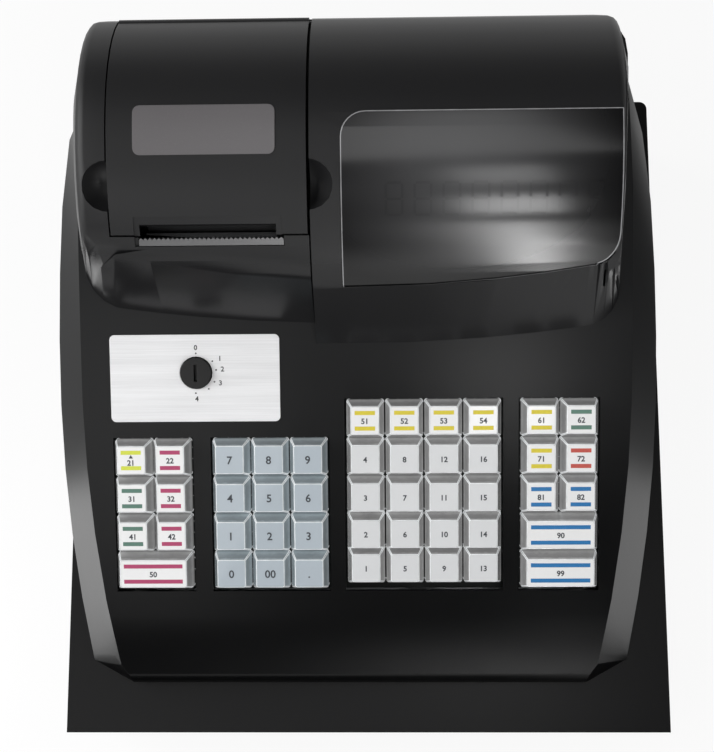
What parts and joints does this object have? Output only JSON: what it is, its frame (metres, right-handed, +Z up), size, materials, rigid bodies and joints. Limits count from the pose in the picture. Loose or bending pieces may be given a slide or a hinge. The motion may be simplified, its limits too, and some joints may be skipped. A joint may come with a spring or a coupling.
{
  "type": "cash register",
  "caption": "Electronic cash register on a drawer cabinet, with a sloping keyboard, a mode lock, a receipt printer under a curved door and a display window.",
  "frame": {"origin": "centre of the footprint, on the surface that the feet stand on", "axes": "+Z up, +Y towards the back, +X to the operator's right"},
  "size_m": [0.31, 0.338, 0.2303],
  "materials": {
    "cabinet_paint": "satin",
    "case_plastic": "fine grain",
    "tower_plastic": "fine grain",
    "window_gloss": "polished",
    "display_glass": "polished",
    "frame_plastic": "plain",
    "black_rubber": "matt",
    "paper": "matt",
    "brushed_plate": "brushed",
    "lock_steel": "turned",
    "tear_steel": "plain",
    "clip_steel": "plain",
    "sheet_steel": "zinc plated",
    "tray_plastic": "plain",
    "circuit_board": "lacquered",
    "supply_metal": "plain",
    "clear_key": "clear cap over a paper label",
    "grey_key": "clear cap over a paper label"
  },
  "bodies": {
    "root": {"drawer_cabinet": "cabinet_paint", "foot_front_left": "black_rubber", "foot_rear_left": "black_rubber", "foot_front_right": "black_rubber", "foot_rear_right": "black_rubber", "base_plate": "sheet_steel", "keyboard_case": "case_plastic", "printer_housing": "tower_plastic", "display_housing": "tower_plastic", "display_window": "window_gloss", "display_module": "display_glass", "printer_mechanism": "frame_plastic", "mode_plate": "brushed_plate", "tear_bar": "tear_steel", "main_board": "circuit_board", "keyboard_board": "circuit_board", "power_supply": "supply_metal"},
    "drawer": {"cash_drawer": "sheet_steel", "drawer_front": "cabinet_paint", "money_tray": "tray_plastic"},
    "drawer_lock": {"drawer_lock": "lock_steel"},
    "printer_door": {"printer_door": "tower_plastic"},
    "mode_lock": {"mode_lock": "lock_steel"},
    "platen_roller": {"platen_roller": "black_rubber"},
    "paper_roll": {"paper_roll": "paper"},
    "bill_clip_1": {"bill_clip_1": "clip_steel"},
    "bill_clip_2": {"bill_clip_2": "clip_steel"},
    "bill_clip_3": {"bill_clip_3": "clip_steel"},
    "bill_clip_4": {"bill_clip_4": "clip_steel"},
    "department_keys_1": {"department_keys_1": "clear_key"},
    "department_keys_2": {"department_keys_2": "clear_key"},
    "department_keys_3": {"department_keys_3": "clear_key"},
    "department_keys_4": {"department_keys_4": "clear_key"},
    "left_key_2_1": {"left_key_2_1": "clear_key"},
    "left_key_2_2": {"left_key_2_2": "clear_key"},
    "left_key_3_1": {"left_key_3_1": "clear_key"},
    "left_key_3_2": {"left_key_3_2": "clear_key"},
    "left_key_4_1": {"left_key_4_1": "clear_key"},
    "left_key_4_2": {"left_key_4_2": "clear_key"},
    "left_key_wide_5": {"left_key_wide_5": "clear_key"},
    "number_key_2_1": {"number_key_2_1": "grey_key"},
    "number_key_2_2": {"number_key_2_2": "grey_key"},
    "number_key_2_3": {"number_key_2_3": "grey_key"},
    "number_key_3_1": {"number_key_3_1": "grey_key"},
    "number_key_3_2": {"number_key_3_2": "grey_key"},
    "number_key_3_3": {"number_key_3_3": "grey_key"},
    "number_key_4_1": {"number_key_4_1": "grey_key"},
    "number_key_4_2": {"number_key_4_2": "grey_key"},
    "number_key_4_3": {"number_key_4_3": "grey_key"},
    "number_key_5_1": {"number_key_5_1": "grey_key"},
    "number_key_5_2": {"number_key_5_2": "grey_key"},
    "number_key_5_3": {"number_key_5_3": "grey_key"},
    "right_key_1_1": {"right_key_1_1": "clear_key"},
    "right_key_1_2": {"right_key_1_2": "clear_key"},
    "right_key_2_1": {"right_key_2_1": "clear_key"},
    "right_key_2_2": {"right_key_2_2": "clear_key"},
    "right_key_3_1": {"right_key_3_1": "clear_key"},
    "right_key_3_2": {"right_key_3_2": "clear_key"},
    "right_key_wide_4": {"right_key_wide_4": "clear_key"},
    "right_key_wide_5": {"right_key_wide_5": "clear_key"}
  },
  "joints": [
    {"name": "drawer_slide", "type": "slide", "parent": "root", "child": "drawer", "axis": [0, -1, 0], "range_m": [0, 0.24]},
    {"name": "door_hinge", "type": "hinge", "parent": "root", "child": "printer_door", "pos_m": [-0.0037, 0.1656, 0.2042], "axis": [-1, 0, 0], "range_deg": [0, 95]},
    {"name": "mode_lock_turn", "type": "hinge", "parent": "root", "child": "mode_lock", "pos_m": [-0.0817, 0.00714, 0.15464], "axis": [0, -0.2782, 0.9605], "range_deg": [-180, 0]},
    {"name": "drawer_lock_turn", "type": "hinge", "parent": "drawer", "child": "drawer_lock", "pos_m": [0, -0.163, 0.048], "axis": [0, 1, 0], "range_deg": [0, 90]},
    {"name": "platen_turn", "type": "hinge", "parent": "printer_door", "child": "platen_roller", "pos_m": [-0.0687, 0.0715, 0.198], "axis": [1, 0, 0], "continuous": true},
    {"name": "paper_roll_turn", "type": "hinge", "parent": "root", "child": "paper_roll", "pos_m": [-0.0687, 0.119, 0.192], "axis": [1, 0, 0], "continuous": true},
    {"name": "bill_clip_1_lift", "type": "hinge", "parent": "drawer", "child": "bill_clip_1", "pos_m": [-0.1068, 0.1356, 0.0458], "axis": [-1, 0, 0], "range_deg": [0, 50], "stiffness_Nm_per_rad": 0.03, "springref_deg": -22.92},
    {"name": "bill_clip_2_lift", "type": "hinge", "parent": "drawer", "child": "bill_clip_2", "pos_m": [-0.0356, 0.1356, 0.0458], "axis": [-1, 0, 0], "range_deg": [0, 50], "stiffness_Nm_per_rad": 0.03, "springref_deg": -22.92},
    {"name": "bill_clip_3_lift", "type": "hinge", "parent": "drawer", "child": "bill_clip_3", "pos_m": [0.0356, 0.1356, 0.0458], "axis": [-1, 0, 0], "range_deg": [0, 50], "stiffness_Nm_per_rad": 0.03, "springref_deg": -22.92},
    {"name": "bill_clip_4_lift", "type": "hinge", "parent": "drawer", "child": "bill_clip_4", "pos_m": [0.1068, 0.1356, 0.0458], "axis": [-1, 0, 0], "range_deg": [0, 50], "stiffness_Nm_per_rad": 0.03, "springref_deg": -22.92},
    {"name": "department_keys_1_press", "type": "slide", "parent": "root", "child": "department_keys_1", "axis": [0, 0.2782, -0.9605], "range_m": [0, 0.0035], "stiffness_N_per_m": 160, "springref_m": -0.002},
    {"name": "department_keys_2_press", "type": "slide", "parent": "root", "child": "department_keys_2", "axis": [0, 0.2782, -0.9605], "range_m": [0, 0.0035], "stiffness_N_per_m": 160, "springref_m": -0.002},
    {"name": "department_keys_3_press", "type": "slide", "parent": "root", "child": "department_keys_3", "axis": [0, 0.2782, -0.9605], "range_m": [0, 0.0035], "stiffness_N_per_m": 160, "springref_m": -0.002},
    {"name": "department_keys_4_press", "type": "slide", "parent": "root", "child": "department_keys_4", "axis": [0, 0.2782, -0.9605], "range_m": [0, 0.0035], "stiffness_N_per_m": 160, "springref_m": -0.002},
    {"name": "left_key_2_1_press", "type": "slide", "parent": "root", "child": "left_key_2_1", "axis": [0, 0.2782, -0.9605], "range_m": [0, 0.0035], "stiffness_N_per_m": 160, "springref_m": -0.002},
    {"name": "left_key_2_2_press", "type": "slide", "parent": "root", "child": "left_key_2_2", "axis": [0, 0.2782, -0.9605], "range_m": [0, 0.0035], "stiffness_N_per_m": 160, "springref_m": -0.002},
    {"name": "left_key_3_1_press", "type": "slide", "parent": "root", "child": "left_key_3_1", "axis": [0, 0.2782, -0.9605], "range_m": [0, 0.0035], "stiffness_N_per_m": 160, "springref_m": -0.002},
    {"name": "left_key_3_2_press", "type": "slide", "parent": "root", "child": "left_key_3_2", "axis": [0, 0.2782, -0.9605], "range_m": [0, 0.0035], "stiffness_N_per_m": 160, "springref_m": -0.002},
    {"name": "left_key_4_1_press", "type": "slide", "parent": "root", "child": "left_key_4_1", "axis": [0, 0.2782, -0.9605], "range_m": [0, 0.0035], "stiffness_N_per_m": 160, "springref_m": -0.002},
    {"name": "left_key_4_2_press", "type": "slide", "parent": "root", "child": "left_key_4_2", "axis": [0, 0.2782, -0.9605], "range_m": [0, 0.0035], "stiffness_N_per_m": 160, "springref_m": -0.002},
    {"name": "left_key_wide_5_press", "type": "slide", "parent": "root", "child": "left_key_wide_5", "axis": [0, 0.2782, -0.9605], "range_m": [0, 0.0035], "stiffness_N_per_m": 160, "springref_m": -0.002},
    {"name": "number_key_2_1_press", "type": "slide", "parent": "root", "child": "number_key_2_1", "axis": [0, 0.2782, -0.9605], "range_m": [0, 0.0035], "stiffness_N_per_m": 160, "springref_m": -0.002},
    {"name": "number_key_2_2_press", "type": "slide", "parent": "root", "child": "number_key_2_2", "axis": [0, 0.2782, -0.9605], "range_m": [0, 0.0035], "stiffness_N_per_m": 160, "springref_m": -0.002},
    {"name": "number_key_2_3_press", "type": "slide", "parent": "root", "child": "number_key_2_3", "axis": [0, 0.2782, -0.9605], "range_m": [0, 0.0035], "stiffness_N_per_m": 160, "springref_m": -0.002},
    {"name": "number_key_3_1_press", "type": "slide", "parent": "root", "child": "number_key_3_1", "axis": [0, 0.2782, -0.9605], "range_m": [0, 0.0035], "stiffness_N_per_m": 160, "springref_m": -0.002},
    {"name": "number_key_3_2_press", "type": "slide", "parent": "root", "child": "number_key_3_2", "axis": [0, 0.2782, -0.9605], "range_m": [0, 0.0035], "stiffness_N_per_m": 160, "springref_m": -0.002},
    {"name": "number_key_3_3_press", "type": "slide", "parent": "root", "child": "number_key_3_3", "axis": [0, 0.2782, -0.9605], "range_m": [0, 0.0035], "stiffness_N_per_m": 160, "springref_m": -0.002},
    {"name": "number_key_4_1_press", "type": "slide", "parent": "root", "child": "number_key_4_1", "axis": [0, 0.2782, -0.9605], "range_m": [0, 0.0035], "stiffness_N_per_m": 160, "springref_m": -0.002},
    {"name": "number_key_4_2_press", "type": "slide", "parent": "root", "child": "number_key_4_2", "axis": [0, 0.2782, -0.9605], "range_m": [0, 0.0035], "stiffness_N_per_m": 160, "springref_m": -0.002},
    {"name": "number_key_4_3_press", "type": "slide", "parent": "root", "child": "number_key_4_3", "axis": [0, 0.2782, -0.9605], "range_m": [0, 0.0035], "stiffness_N_per_m": 160, "springref_m": -0.002},
    {"name": "number_key_5_1_press", "type": "slide", "parent": "root", "child": "number_key_5_1", "axis": [0, 0.2782, -0.9605], "range_m": [0, 0.0035], "stiffness_N_per_m": 160, "springref_m": -0.002},
    {"name": "number_key_5_2_press", "type": "slide", "parent": "root", "child": "number_key_5_2", "axis": [0, 0.2782, -0.9605], "range_m": [0, 0.0035], "stiffness_N_per_m": 160, "springref_m": -0.002},
    {"name": "number_key_5_3_press", "type": "slide", "parent": "root", "child": "number_key_5_3", "axis": [0, 0.2782, -0.9605], "range_m": [0, 0.0035], "stiffness_N_per_m": 160, "springref_m": -0.002},
    {"name": "right_key_1_1_press", "type": "slide", "parent": "root", "child": "right_key_1_1", "axis": [0, 0.2782, -0.9605], "range_m": [0, 0.0035], "stiffness_N_per_m": 160, "springref_m": -0.002},
    {"name": "right_key_1_2_press", "type": "slide", "parent": "root", "child": "right_key_1_2", "axis": [0, 0.2782, -0.9605], "range_m": [0, 0.0035], "stiffness_N_per_m": 160, "springref_m": -0.002},
    {"name": "right_key_2_1_press", "type": "slide", "parent": "root", "child": "right_key_2_1", "axis": [0, 0.2782, -0.9605], "range_m": [0, 0.0035], "stiffness_N_per_m": 160, "springref_m": -0.002},
    {"name": "right_key_2_2_press", "type": "slide", "parent": "root", "child": "right_key_2_2", "axis": [0, 0.2782, -0.9605], "range_m": [0, 0.0035], "stiffness_N_per_m": 160, "springref_m": -0.002},
    {"name": "right_key_3_1_press", "type": "slide", "parent": "root", "child": "right_key_3_1", "axis": [0, 0.2782, -0.9605], "range_m": [0, 0.0035], "stiffness_N_per_m": 160, "springref_m": -0.002},
    {"name": "right_key_3_2_press", "type": "slide", "parent": "root", "child": "right_key_3_2", "axis": [0, 0.2782, -0.9605], "range_m": [0, 0.0035], "stiffness_N_per_m": 160, "springref_m": -0.002},
    {"name": "right_key_wide_4_press", "type": "slide", "parent": "root", "child": "right_key_wide_4", "axis": [0, 0.2782, -0.9605], "range_m": [0, 0.0035], "stiffness_N_per_m": 160, "springref_m": -0.002},
    {"name": "right_key_wide_5_press", "type": "slide", "parent": "root", "child": "right_key_wide_5", "axis": [0, 0.2782, -0.9605], "range_m": [0, 0.0035], "stiffness_N_per_m": 160, "springref_m": -0.002}
  ]
}
